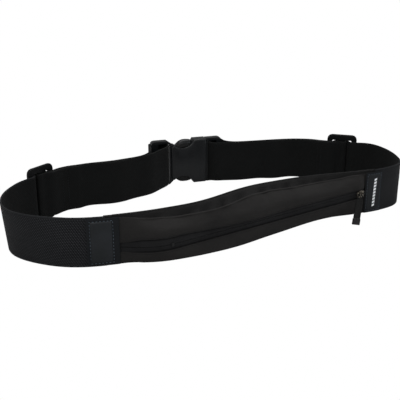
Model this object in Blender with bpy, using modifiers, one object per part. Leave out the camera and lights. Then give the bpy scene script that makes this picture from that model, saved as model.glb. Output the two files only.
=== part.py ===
"""A money belt: elastic webbing, a flat zipped pouch, two tri-glide adjusters and a side-release buckle.

Run it with blender --background --python part.py, or from Blender's text editor. The belt lies on its
lower edge as a closed loop. +X runs along the pouch, towards the zip's closed end, -Y is the pouch's
outer face and +Z is up. Every length below is in millimetres, and MM turns it into Blender's metres.
"""

import math

import bmesh
import bpy
import numpy as np
from mathutils import Matrix, Vector

MM = 0.001
PLAN_CENTRE = (0.87, 11.87)  # taken off every plan position, so that the origin is under the belt's middle

# Webbing
WEB_WIDTH = 40.0
WEB_THICK = 1.5
LAYER = 1.9  # from one webbing layer's middle to the next: its thickness and 0.4 of air
# The loop seen from above, along the middle of the main layer: from beside the buckle's female half,
# round the left end, along the pouch and round the right end to the male half.
ROUTE = [
    (-45, 69.5), (-70, 67.6), (-100, 68.4), (-121, 64), (-138, 55.4), (-158.6, 42.4), (-173.6, 25.6),
    (-180.5, 4), (-176, -14), (-163, -32), (-146, -46), (-126, -54.2), (-106, -58.4), (-88, -60.8),
    (-67, -61.8), (-50, -61.4), (-31, -57.8), (-12, -52.2), (9, -47.4), (33, -46.2), (56, -46.9),
    (81, -50.2), (102, -54.5), (125, -58.6), (150, -58.6), (166.6, -53.6), (177.4, -41.6), (182, -25),
    (180.4, -5.5), (172.4, 9.4), (159.5, 20), (147, 35.4), (130.8, 48.6), (111.4, 59.4), (89, 66.6),
]  # fmt: skip

# Tri-glide adjusters
ADJUSTER_LENGTH = 29.0
ADJUSTER_HEIGHT = 50.0
ADJUSTER_THICK = 3.0
ADJUSTER_BAR = 5.0
ADJUSTER_RAIL = 3.4
ADJUSTER_TOP_RAIL = 5.6
ADJUSTER_OUT = 2.55  # its mid-plane, outside the main layer
ADJUSTER_LEFT_AT = (-135.9, 56.5)
ADJUSTER_RIGHT_AT = (158.9, 20.4)
ADJUSTER_LIFT = 3.6  # how far its lower rail holds the webbing off the ground
TAIL_END = 34.0  # the sewn end of the webbing, from the adjuster's middle
SLACK = 2.4  # how far the return layer hangs inside the main one, half way along

# Side-release buckle
BUCKLE_CENTRE = (21.3, 93.4)
BUCKLE_TURN = -10.4  # degrees, from +X to the way that the male half pulls out
BUCKLE_LENGTH = 73.0
BUCKLE_HEIGHT = 45.0
BUCKLE_THICK = 12.0
BUCKLE_MIDDLE = 23.9  # its middle's height off the ground
BUCKLE_LIFT = 2.9
SEAM = 19.5  # where the halves meet, from the buckle's middle
BODY_LEFT = -16.5
FRAME_THICK = 7.0
FRAME_RAIL = 1.2
FRAME_TOP_RAIL = 3.0
WALL = 2.6
SIDE_WALL = 3.5
SCOOP_AT = (-4.9, 27.5)  # the thumb scoop's centre, from the buckle's middle
SCOOP_RADIUS = 12.7
PRONG_PIVOT = (15.0, 9.0)
PRONG_THICK = 6.0
CLEAR = 0.3

# Pouch
FABRIC = 0.7
PATCH_THICK = 1.0
PATCH_OUT = 1.7
LEFT_PATCH = (-137.0, -111.6)
RIGHT_PATCH = (123.4, 141.4)
TUCK = 8.8  # how far the pouch runs under each patch
STRAP_STOP = 10.0  # how far each strap's sewn end stays from its patch's inner edge
BACK_OUT = -1.45

# Zip
ZIP_CLOSED = (115.4, -61.16, 20.52)
ZIP_OPEN = (-68.0, -72.56, 14.82)
ZIP_GAP = 4.0  # from the zip's middle to each panel's fold
TAPE_THICK = 0.5
TAPE_WIDTH = 7.0
COIL_RADIUS = 0.8
SLIDER_LENGTH = 8.0
SLIDER_WIDTH = 7.0
TAB_LENGTH = 27.5
TAB_WIDTH = 6.7
TAB_THICK = 1.5
LINK_REACH = 4.8
LINK_HALF = 2.3
LINK_WIRE = 0.5
LINK_SWING = 38.0  # degrees, from pointing back along the zip towards straight out
TAB_DROOP = 44.2  # degrees, from level

FINISHES = {
    "webbing": ((0.012, 0.012, 0.014), 0.9, 0.0),
    "pouch_fabric": ((0.014, 0.014, 0.014), 0.8, 0.0),
    "zip_tape": ((0.010, 0.010, 0.011), 0.9, 0.0),
    "zip_coil": ((0.008, 0.008, 0.009), 0.5, 0.0),
    "slider_enamel": ((0.006, 0.006, 0.006), 0.35, 0.6),
    "pull_rubber": ((0.010, 0.010, 0.010), 0.7, 0.0),
    "patch_rubber": ((0.012, 0.014, 0.017), 0.6, 0.0),
    "hard_plastic": ((0.012, 0.012, 0.014), 0.4, 0.0),
}


# ---------------------------------------------------------------- curves


def spline(knots, values):
    """The natural cubic spline through values at knots, as a function."""
    t, p = np.array(knots, float), np.array(values, float)
    h, n = np.diff(t), len(t)
    system, right = np.eye(n), np.zeros_like(p)
    for i in range(1, n - 1):
        system[i, i - 1 : i + 2] = h[i - 1], 2 * (h[i - 1] + h[i]), h[i]
        right[i] = 6 * ((p[i + 1] - p[i]) / h[i] - (p[i] - p[i - 1]) / h[i - 1])
    m = np.linalg.solve(system, right)

    def at(q):
        i = int(np.clip(np.searchsorted(t, q, side="right") - 1, 0, n - 2))
        a, b = t[i + 1] - q, q - t[i]
        bend = (m[i] * a**3 + m[i + 1] * b**3) / (6 * h[i])
        return bend + (p[i] / h[i] - m[i] * h[i] / 6) * a + (p[i + 1] / h[i] - m[i + 1] * h[i] / 6) * b

    return at


def through(points, per_span):
    """Points along the smooth curve through points, per_span of them to each span."""
    p = np.array(points, float)
    knots = np.r_[0, np.cumsum(np.linalg.norm(np.diff(p, axis=0), axis=1))]
    curve = spline(knots, p)
    steps = [np.linspace(a, b, per_span, endpoint=False) for a, b in zip(knots, knots[1:])]
    return [curve(q) for q in np.r_[np.concatenate(steps), knots[-1]]]


def ease(x, start, end):
    """0 before start and 1 after end, turning smoothly between them."""
    t = min(max((x - start) / (end - start), 0.0), 1.0)
    return t * t * (3 - 2 * t)


class Route:
    """The belt's plan curve, read by the length along it."""

    def __init__(self, points):
        self.xy = np.array(through(points, 40)) - PLAN_CENTRE
        steps = np.linalg.norm(np.diff(self.xy, axis=0), axis=1)
        self.s = np.r_[0, np.cumsum(steps)]
        self.length = self.s[-1]
        front = self.xy[:, 1] < np.interp(self.xy[:, 0], (-170, 170), (-20, -30))
        self.front = self.xy[front]

    def point(self, s):
        return np.array([np.interp(s, self.s, self.xy[:, 0]), np.interp(s, self.s, self.xy[:, 1])])

    def tangent(self, s):
        step = self.point(min(s + 1.5, self.length)) - self.point(max(s - 1.5, 0))
        return step / np.linalg.norm(step)

    def place(self, s, out):
        """The plan point at length s, moved out of the loop by out."""
        t = self.tangent(s)
        return self.point(s) + out * np.array([t[1], -t[0]])

    def nearest(self, plan):
        """The length at which the route passes closest to a plan position."""
        gaps = np.linalg.norm(self.xy - (np.array(plan) - PLAN_CENTRE), axis=1)
        return self.s[int(np.argmin(gaps))]

    def front_y(self, x):
        """The main layer's y on the pouch side."""
        return np.interp(x, self.front[:, 0], self.front[:, 1])


def plan(x, y):
    return np.array([x, y], float) - PLAN_CENTRE


# ---------------------------------------------------------------- making objects


def clear_scene():
    for obj in list(bpy.data.objects):
        bpy.data.objects.remove(obj, do_unlink=True)


def finish(name, slot):
    colour, roughness, metallic = FINISHES[slot]
    made = bpy.data.materials.new(name)
    made.use_nodes = True
    shader = made.node_tree.nodes["Principled BSDF"]
    shader.inputs["Base Color"].default_value = (*colour, 1)
    shader.inputs["Roughness"].default_value = roughness
    shader.inputs["Metallic"].default_value = metallic
    made.diffuse_color = (*colour, 1)
    return made


def add(name, slot, mesh, pivot=None):
    """The named piece from a mesh in millimetres. A moving piece gets its pivot as its origin."""
    mesh.transform(Matrix.Scale(MM, 4))
    obj = bpy.data.objects.new(name, mesh)
    if pivot is not None:
        obj.location = Vector(pivot) * MM
        mesh.transform(Matrix.Translation(-obj.location))
    mesh.materials.clear()
    mesh.materials.append(finish(name, slot))
    BELT.objects.link(obj)
    return obj


def baked(mesh, *modifiers):
    """The mesh with modifiers applied. Each modifier is a type and its settings."""
    obj = bpy.data.objects.new("bake", mesh)
    bpy.context.scene.collection.objects.link(obj)
    for kind, settings in modifiers:
        modifier = obj.modifiers.new(kind, kind)
        for key, value in settings.items():
            setattr(modifier, key, value)
    bpy.context.view_layer.update()
    done = bpy.data.meshes.new_from_object(obj.evaluated_get(bpy.context.evaluated_depsgraph_get()))
    bpy.data.objects.remove(obj, do_unlink=True)
    return done


def sheet(point, across, along, thick):
    """A sheet of fabric whose middle is point(u, v), with u along it and v across it, both from 0 to 1."""
    work = bmesh.new()
    bmesh.ops.create_grid(work, x_segments=along, y_segments=across, size=0.5)
    for v in work.verts:
        v.co = point(v.co.x + 0.5, v.co.y + 0.5)
    mesh = bpy.data.meshes.new("sheet")
    work.to_mesh(mesh)
    work.free()
    return outward(baked(mesh, ("SOLIDIFY", {"thickness": thick, "offset": 0, "use_even_offset": True})))


def outward(mesh):
    work = bmesh.new()
    work.from_mesh(mesh)
    bmesh.ops.remove_doubles(work, verts=work.verts, dist=1e-4)
    bmesh.ops.recalc_face_normals(work, faces=work.faces)
    work.to_mesh(mesh)
    work.free()
    return mesh


def ribbon(path):
    """Webbing that stands on edge along path, a list of (x, y, height of its lower edge)."""
    line = [Vector(p) for p in through(path, 3)]

    def point(u, v):
        x, y, low = line[round(u * (len(line) - 1))]
        return Vector((x, y, low + v * WEB_WIDTH))

    return sheet(point, 1, len(line) - 1, WEB_THICK)


def arc(centre, radius, start, end, count):
    """count + 1 points on an arc, with its angles in degrees."""
    turns = [math.radians(start + (end - start) * i / count) for i in range(count + 1)]
    return [(centre[0] + radius * math.cos(a), centre[1] + radius * math.sin(a)) for a in turns]


def rounded(corners, count=3):
    """The outline through corners, each (x, y, radius), with an arc at each corner that has a radius."""
    outline = []
    for i, (x, y, radius) in enumerate(corners):
        here = Vector((x, y))
        if not radius:
            outline.append((x, y))
            continue
        back = (Vector(corners[i - 1][:2]) - here).normalized()
        on = (Vector(corners[(i + 1) % len(corners)][:2]) - here).normalized()
        half = back.angle(on) / 2
        centre = here + (back + on).normalized() * radius / math.sin(half)
        first = (here + back * radius / math.tan(half) - centre).normalized()
        last = (here + on * radius / math.tan(half) - centre).normalized()
        for k in range(count + 1):
            outline.append(tuple(centre + first.slerp(last, k / count) * radius))
    return outline


def rectangle(low, high, radius):
    (x0, y0), (x1, y1) = low, high
    return rounded([(x0, y0, radius), (x1, y0, radius), (x1, y1, radius), (x0, y1, radius)])


def plate(outlines, thick, edge=0.0):
    """A flat plate in XY about z = 0. The first outline is its rim and the others are its holes."""
    curve = bpy.data.curves.new("plate", "CURVE")
    curve.dimensions = "2D"
    curve.fill_mode = "BOTH"
    curve.extrude = thick / 2 - edge
    curve.bevel_depth = edge
    curve.offset = -edge
    curve.bevel_resolution = 1
    for outline in outlines:
        line = curve.splines.new("POLY")
        line.points.add(len(outline) - 1)
        line.use_cyclic_u = True
        for point, (x, y) in zip(line.points, outline):
            point.co = (x, y, 0, 1)
    obj = bpy.data.objects.new("plate", curve)
    bpy.context.scene.collection.objects.link(obj)
    bpy.context.view_layer.update()
    mesh = bpy.data.meshes.new_from_object(obj.evaluated_get(bpy.context.evaluated_depsgraph_get()))
    bpy.data.objects.remove(obj, do_unlink=True)
    return outward(mesh)


def block(low, high):
    """A box between two corners."""
    work = bmesh.new()
    bmesh.ops.create_cube(work, size=1.0)
    low, high = Vector(low), Vector(high)
    for v in work.verts:
        v.co = Vector(((low[i] + high[i]) / 2 + v.co[i] * (high[i] - low[i]) for i in range(3)))
    mesh = bpy.data.meshes.new("block")
    work.to_mesh(mesh)
    work.free()
    return mesh


def combine(mesh, others, operation):
    """mesh joined with the others, or cut by them."""
    helpers = []
    for other in others:
        helper = bpy.data.objects.new("helper", other)
        helper.hide_render = True
        bpy.context.scene.collection.objects.link(helper)
        helpers.append(helper)
    steps = [("BOOLEAN", {"operation": operation, "object": h, "solver": "EXACT"}) for h in helpers]
    done = baked(mesh, *steps)
    for helper in helpers:
        bpy.data.objects.remove(helper, do_unlink=True)
    return outward(done)


def axes(x, y, z, origin):
    """The matrix that takes a piece's own axes to these, at origin."""
    turn = Matrix((x, y, z)).transposed().to_4x4()
    return Matrix.Translation(Vector(origin)) @ turn


def moved(mesh, matrix):
    mesh.transform(matrix)
    return mesh


# ---------------------------------------------------------------- webbing


def lift(route, s):
    """How far the webbing's lower edge is off the ground at length s."""
    left, right = route.nearest(ADJUSTER_LEFT_AT), route.nearest(ADJUSTER_RIGHT_AT)
    sides = 1 - ease(s, left + 20, left + 85) + ease(s, right - 74, right - 20)
    buckle = 1 - ease(s, 12, 50) + ease(s, route.length - 45, route.length - 12)
    return ADJUSTER_LIFT * sides + (BUCKLE_LIFT - ADJUSTER_LIFT) * buckle


def buckle_plan(along, out):
    """The plan position at a place along the buckle, and out of the loop from its middle."""
    turn = math.radians(BUCKLE_TURN)
    x = BUCKLE_CENTRE[0] + along * math.cos(turn) - out * math.sin(turn)
    y = BUCKLE_CENTRE[1] + along * math.sin(turn) + out * math.cos(turn)
    return plan(x, y)


def strap(route, adjuster_at, stop, bar_wrap, to_buckle):
    """One webbing: from its end under a patch, through the adjuster, round the buckle's bar, and back to
    the adjuster's middle bar, where it is folded and sewn. to_buckle is s's sign towards the buckle."""
    middle = route.nearest(adjuster_at)
    end = 0.0 if to_buckle < 0 else route.length
    run = abs(end - middle)
    t = route.tangent(middle)

    def at(toward, out):
        """A place on the webbing, which runs straight where the adjuster holds it flat."""
        s = middle + to_buckle * toward
        held = route.place(middle, out) + to_buckle * toward * t
        share = ease(abs(toward), 17, 36)
        return (*(held + (route.place(s, out) - held) * share), lift(route, s))

    path = [at(b, 0) for b in np.arange(-abs(middle - stop), -20, 9.0)]
    path += [at(*place) for place in MAIN_WEAVE]
    path += [at(b, 0) for b in np.arange(20, run - 8, 9.0)]
    path += [(*buckle_plan(*place), BUCKLE_LIFT) for place in bar_wrap]
    inner = np.arange(run - 4, TAIL_END + 14, -9.0)
    hang = [SLACK * math.sin(math.pi * k / (len(inner) - 1)) for k in range(len(inner))]
    path += [at(b, -LAYER - more) for b, more in zip(inner, hang)]
    path += [at(*place) for place in RETURN_WEAVE]
    return ribbon(path)


# The webbing in an adjuster, as (towards the buckle, out of the loop) from its middle: the main layer over
# the middle bar, and the return layer that folds round that bar under it and ends between the layers.
MAIN_WEAVE = [
    (-14, -0.05), (-10.6, -0.05), (-8.2, 0.9), (-6.7, 3.1), (-5.6, 5.4), (-3.4, 6.9), (0, 7.2),
    (3.4, 7.0), (5.9, 5.8), (7.4, 3.6), (8.4, 1.2), (10.2, -0.05), (14, -0.05),
]  # fmt: skip
RETURN_WEAVE = [
    (TAIL_END + 8, -LAYER - 0.3), (TAIL_END + 2, -2 * LAYER), (28, -2 * LAYER), (20, -2 * LAYER),
    (13, -2 * LAYER), (9.4, -3.75), (6.8, -2.7), (5, -1.3), (3, -0.2), (0, -0.05), (-2.5, -0.05),
    (-3.65, 0.9), (-3.8, 2.55), (-3.65, 4.2), (-2.5, 5.15), (0, 5.2), (2.4, 5.15), (3.7, 4.1),
    (4.8, 2.2), (6, 0.3), (7.6, -1.3), (10.2, -LAYER), (14, -LAYER), (22, -LAYER), (TAIL_END, -LAYER),
]  # fmt: skip
# The webbing round each buckle bar, as (along the buckle, out of the loop) from its middle.
FEMALE_WRAP = [
    (-50.4, -31), (-44.4, -24.4), (-40.1, -15), (-37.9, -6), (-37.6, 0.8), (-36.8, 4.6), (-31, 5.9),
    (-25.5, 5.4), (-21.2, 2.6), (-19.6, -2.4), (-21.5, -8.5), (-32.3, -19.6), (-44.6, -30.4),
]  # fmt: skip
MALE_WRAP = [
    (56, -13.0), (47, -11.0), (41.4, -7.2), (38.5, -1.2), (37.6, 3.6), (34, 5.4), (28.8, 5.2),
    (24.2, 2.6), (23, -2.4), (24.8, -7.6), (36.4, -11.9), (53.3, -15.2),
]  # fmt: skip


def adjuster(route, at, to_buckle):
    """The tri-glide and its place: an oblong frame with a middle bar between two tall slots."""
    outer = rectangle(
        (-ADJUSTER_LENGTH / 2, 0), (ADJUSTER_LENGTH / 2, ADJUSTER_HEIGHT), ADJUSTER_LENGTH * 0.16
    )
    low, high = ADJUSTER_RAIL, ADJUSTER_HEIGHT - ADJUSTER_TOP_RAIL
    inner, rim = ADJUSTER_BAR / 2, ADJUSTER_LENGTH / 2 - ADJUSTER_BAR
    slots = [rectangle((-rim, low), (-inner, high), 1.2), rectangle((inner, low), (rim, high), 1.2)]
    mesh = plate([outer, *slots], ADJUSTER_THICK, 0.7)
    s = route.nearest(at)
    t = route.tangent(s) * to_buckle
    along, up = Vector((*t, 0)), Vector((0, 0, 1))
    centre = (*route.place(s, ADJUSTER_OUT), 0)
    return moved(mesh, axes(along, up, along.cross(up), centre)), centre


# ---------------------------------------------------------------- buckle


def buckle_axes():
    """The buckle's own axes: x along it to the male half, y up and z into the loop, from its middle."""
    along = Vector((math.cos(math.radians(BUCKLE_TURN)), math.sin(math.radians(BUCKLE_TURN)), 0))
    up = Vector((0, 0, 1))
    return axes(along, up, along.cross(up), (*buckle_plan(0, 0), BUCKLE_MIDDLE))


def female():
    """The socket: a hollow body with a thumb scoop in each side, and a frame for the webbing."""
    half, left = BUCKLE_HEIGHT / 2, -BUCKLE_LENGTH / 2
    frame = rounded(
        [(left, -half, 3.4), (-18.2, -half, 1), (-12, 6 - half, 0), (-12, half - 6, 0), (-20.5, half, 1),
         (left, half, 3.4)]
    )  # fmt: skip
    low, high = FRAME_RAIL - half, half - FRAME_TOP_RAIL
    slot = rounded(
        [(left + 7, low, 1.2), (-18.4, low, 0.5), (BODY_LEFT - 1.5, low + 1.4, 0.5),
         (BODY_LEFT - 1.5, high - 1.4, 0.5), (-18.4, high, 0.5), (left + 7, high, 1.2)]
    )  # fmt: skip
    scoop = arc(SCOOP_AT, SCOOP_RADIUS, -23, -132, 12)
    body = [(BODY_LEFT, 6.5 - half), *((x, -y) for x, y in scoop[::-1]), (SEAM, -half)]
    body += [(x, -y) for x, y in body[::-1]]
    joined = combine(plate([body], BUCKLE_THICK, 1.5), [plate([frame, slot], FRAME_THICK)], "UNION")
    inside, start = BUCKLE_THICK / 2 - WALL, BODY_LEFT + 2.5
    cavity = block((start, SIDE_WALL - half, -inside), (SEAM + 5, half - SIDE_WALL, inside))
    windows = block((start, -half - 5, -inside), (5.1, half + 5, inside))
    return combine(joined, [cavity, windows], "DIFFERENCE")


def male():
    """The plug: a frame for the webbing, a collar that meets the socket and a tongue that guides it in."""
    half, right = BUCKLE_HEIGHT / 2, BUCKLE_LENGTH / 2
    start = SEAM + CLEAR
    frame = rounded([(start, -half, 0.8), (right, -half, 3.4), (right, half, 3.4), (start, half, 0.8)])
    slot = rectangle((start + 1.9, FRAME_RAIL - half), (right - 5.5, half - FRAME_TOP_RAIL), 1.2)
    inside = BUCKLE_THICK / 2 - WALL - CLEAR
    side = half - SIDE_WALL - 0.4
    parts = [
        block((start + 0.3, 0.8 - half, -4.8), (start + 1.5, half - 0.8, 4.8)),
        block((PRONG_PIVOT[0] + 2.3, -side, -inside), (start + 1.0, side, inside)),
        block((-4, -2, -1.8), (start + 1.2, 2, 1.8)),
    ]
    return combine(plate([frame, slot], FRAME_THICK), parts, "UNION")


def prong(side):
    """One latch arm, with the button that a thumb squeezes. side is 1 for the upper, -1 for the lower."""
    x, y = PRONG_PIVOT
    half = BUCKLE_HEIGHT / 2
    outline = arc((x, y), 2.0, -90, 90, 4)
    outline += [(x - 6, y + 2.2), (4.8, y + 3), (4.8, half - 2.2), (3.2, half - 0.9), (0.5, half - 0.1)]
    outline += [(-3, half), (-6.5, half - 0.4), (-9.5, half - 2), (-12, half - 5.2), (-13, half - 9)]
    outline += [(-12.4, y + 1.4), (-10.5, y - 0.4), (0, y - 1.2)]
    return plate([[(px, side * py) for px, py in outline][::side]], PRONG_THICK, 0.5)


# ---------------------------------------------------------------- pouch and zip

# The pouch's section at places along X. Depths are how far its surface stands out of the webbing's middle.
STATIONS = [-111.6, -99, -83, -63, -40, -12, 10, 33, 56, 83, 102, 118, 127]
BOTTOM = [1.4, 5.6, 10.2, 12.6, 15.4, 21.0, 21.4, 18.0, 12.8, 6.2, 3.6, 2.4, 1.2]
RIDGE = [1.6, 4.2, 6.2, 8.0, 12.0, 14.8, 15.0, 13.2, 10.6, 5.6, 3.8, 2.4, 1.2]
RIDGE_HEIGHT = [37.6, 36.0, 34.4, 34.2, 34.6, 36.8, 37.8, 36.8, 35.4, 35.2, 35.8, 36.6, 36.8]
BULGE_ABOVE = [0.2, 1.0, 1.8, 2.4, 3.0, 3.2, 2.6, 1.6, 0.8, 0.4, 0.6, 0.8, 0.2]


class Pouch:
    """The pouch's surfaces over x, between the patches and tucked under them."""

    def __init__(self, route):
        self.route = route
        shift = [x - PLAN_CENTRE[0] for x in STATIONS]
        self.bottom = spline(shift, BOTTOM)
        self.ridge = spline(shift, RIDGE)
        self.ridge_height = spline(shift, RIDGE_HEIGHT)
        self.bulge = spline(shift, BULGE_ABOVE)
        self.left = LEFT_PATCH[1] - PLAN_CENTRE[0]
        self.right = RIGHT_PATCH[0] - PLAN_CENTRE[0]
        closed = (*plan(*ZIP_CLOSED[:2]), ZIP_CLOSED[2])
        opened = (*plan(*ZIP_OPEN[:2]), ZIP_OPEN[2])
        self.closed, self.opened = Vector(closed), Vector(opened)

    def at(self, x, depth, z):
        return Vector((x, self.route.front_y(x) - depth, z))

    def span(self, u):
        """x at a share u of the pouch's cut length, with its tucked ends."""
        return (self.left - TUCK) + u * (self.right - self.left + 2 * TUCK)

    def swell(self, x):
        """0 under the patches, and 1 where the pouch is free of them."""
        return ease(x, self.left + 1.6, self.left + 16) * (1 - ease(x, self.right - 10, self.right - 2.3))

    def section(self, x, values, flat):
        """A depth from the stations, that runs down to flat under the patches."""
        inside = min(max(x, self.left), self.right)
        return flat + (values(inside) - flat) * self.swell(x)

    def zip_middle(self, x):
        """The zip's middle line as (depth, height): straight where the slider runs."""
        share = (x - self.opened.x) / (self.closed.x - self.opened.x)
        line = self.opened.lerp(self.closed, share)
        depth = self.route.front_y(x) - line.y
        bend = min(max((x - self.left - 1.6) / (self.opened.x - 5 - self.left - 1.6), 0), 1)
        near = math.sin(math.pi / 2 * bend) ** 1.2 * (1 - ease(x, self.closed.x + 3.6, self.right - 2.0))
        return -0.45 + (depth + 0.45) * near, line.z

    def profile(self, points, v):
        """The point at a share v along a section through points, each (depth, height)."""
        p = np.array(points, float)
        knots = np.r_[0, np.cumsum(np.linalg.norm(np.diff(p, axis=0), axis=1))]
        return spline(knots / knots[-1], p)(v)


def pouch_pieces(route):
    """The pouch's fabric pieces as name -> mesh."""
    pouch = Pouch(route)
    top = WEB_WIDTH

    def free(x):
        return pouch.swell(x)

    def upper(x, v):
        depth, height = pouch.zip_middle(x)
        fold = depth + 0.9 + 0.4 * free(x)
        bulge = fold + pouch.section(x, pouch.bulge, 0)
        ridge = pouch.section(x, pouch.ridge, 0.35)
        ridge_z = pouch.ridge_height(min(max(x, pouch.left), pouch.right))
        start = height + ZIP_GAP
        points = [(fold, start), (bulge, start + 0.38 * (ridge_z - start)), (ridge, ridge_z)]
        return pouch.at(x, *pouch.profile(points, v))

    def lower(x, v):
        depth, height = pouch.zip_middle(x)
        fold = depth + 0.9 + 0.4 * free(x)
        bottom = pouch.section(x, pouch.bottom, 0.35)
        end = height - ZIP_GAP
        front = [(fold, end), ((fold + bottom) / 2 + 0.4 * free(x), end / 2), (bottom, 1.6)]
        if v < 0.6:
            return pouch.at(x, *pouch.profile(front, v / 0.6))
        w = (v - 0.6) / 0.4
        return pouch.at(x, bottom + (-0.5 - bottom) * ease(w, -0.6, 1.0), 0.35 + 1.25 * (1 - w) ** 6)

    def gusset(x, v):
        ridge = pouch.section(x, pouch.ridge, 0.35)
        ridge_z = pouch.ridge_height(min(max(x, pouch.left), pouch.right))
        front, sag = ridge - 1.1 * free(x), 1.6 * free(x)
        rise = top - 0.4 - ridge_z
        height = ridge_z + 1.1 - 0.5 * free(x) + (rise - 1.1) * v - sag * math.sin(math.pi * v)
        return pouch.at(x, front + (-0.5 - front) * v, height)

    pieces = {
        "pouch_front_upper_panel": sheet(lambda u, v: upper(pouch.span(u), v), 6, 84, FABRIC),
        "pouch_front_lower_panel": sheet(lambda u, v: lower(pouch.span(u), v), 10, 84, FABRIC),
        "pouch_top_gusset": sheet(lambda u, v: gusset(pouch.span(u), v), 3, 84, FABRIC),
        "pouch_back_panel": sheet(
            lambda u, v: pouch.at(pouch.span(u), BACK_OUT, v * top), 1, 56, FABRIC + 0.1
        ),
    }
    for name, side in (("zipper_tape_upper", 1), ("zipper_tape_lower", -1)):
        def tape(u, v, side=side):
            x = pouch.span(u)
            depth, height = pouch.zip_middle(x)
            lean = 2.5 * v * v * free(x)
            parted = 0.3 + 0.7 * ease(x, pouch.closed.x, pouch.closed.x + 2.2)
            return pouch.at(x, depth - lean, height + side * (parted + v * TAPE_WIDTH))

        pieces[name] = sheet(tape, 2, 84, TAPE_THICK)
    return pouch, pieces


def coil(pouch, side):
    """The zip's coil on one tape, as a plain rod behind it."""
    radius, low, high = COIL_RADIUS, pouch.left + 12, pouch.closed.x + 1.8
    work = bmesh.new()
    rings = []
    count = 60
    for i in range(count + 1):
        x = low + (high - low) * i / count
        depth, height = pouch.zip_middle(x)
        middle = pouch.at(x, depth - 0.55 - radius, height + side * (radius + 0.15))
        ring = [
            work.verts.new(middle + Vector((0, radius * math.cos(a), radius * math.sin(a))))
            for a in (math.tau * k / 6 for k in range(6))
        ]
        rings.append(ring)
    for one, two in zip(rings, rings[1:]):
        for k in range(6):
            work.faces.new((one[k], one[(k + 1) % 6], two[(k + 1) % 6], two[k]))
    work.faces.new(rings[0][::-1])
    work.faces.new(rings[-1])
    mesh = bpy.data.meshes.new("coil")
    work.to_mesh(mesh)
    work.free()
    return outward(mesh)


def zip_axes(pouch, origin):
    """The zip's own axes: x along the track to its closed end, y up across it and z out of the pouch."""
    along = (pouch.closed - pouch.opened).normalized()
    out = Vector((along.y, -along.x, 0)).normalized()
    return axes(along, out.cross(along), out, origin)


def slider(pouch):
    """The slider: two wings joined by the wedge that parts the coils, with an arched bridge in front."""
    half, wide = SLIDER_LENGTH / 2, SLIDER_WIDTH / 2
    wing = [(half, wide - 0.6), (half, -wide + 0.6), (1, -wide), (-half, -wide + 1.2), (-half, wide - 1.2),
            (1, wide)]  # fmt: skip
    front = moved(plate([wing], 0.9, 0.25), Matrix.Translation((0, 0, 1.35)))
    back = moved(plate([wing], 0.9, 0.25), Matrix.Translation((0, 0, -2.9)))
    wedge = block((half - 1.6, -0.6, -2.9), (half - 0.2, 0.6, 1.35))
    bridge = plate([arc((0, 0), 3.0, 0, 180, 8), arc((0, 0.2), 1.8, 0, 180, 8)], 1.6)
    bridge = moved(bridge, Matrix.Translation((0, 0, 1.4)) @ Matrix.Rotation(math.radians(90), 4, "X"))
    return combine(front, [back, wedge, bridge], "UNION")


def ring(points, radius):
    """A closed loop of wire through points."""
    curve = bpy.data.curves.new("ring", "CURVE")
    curve.dimensions = "3D"
    curve.bevel_depth = radius
    curve.bevel_resolution = 1
    line = curve.splines.new("POLY")
    line.points.add(len(points) - 1)
    line.use_cyclic_u = True
    for point, place in zip(line.points, points):
        point.co = (*place, 1)
    obj = bpy.data.objects.new("ring", curve)
    bpy.context.scene.collection.objects.link(obj)
    bpy.context.view_layer.update()
    mesh = bpy.data.meshes.new_from_object(obj.evaluated_get(bpy.context.evaluated_depsgraph_get()))
    bpy.data.objects.remove(obj, do_unlink=True)
    return outward(mesh)


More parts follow.
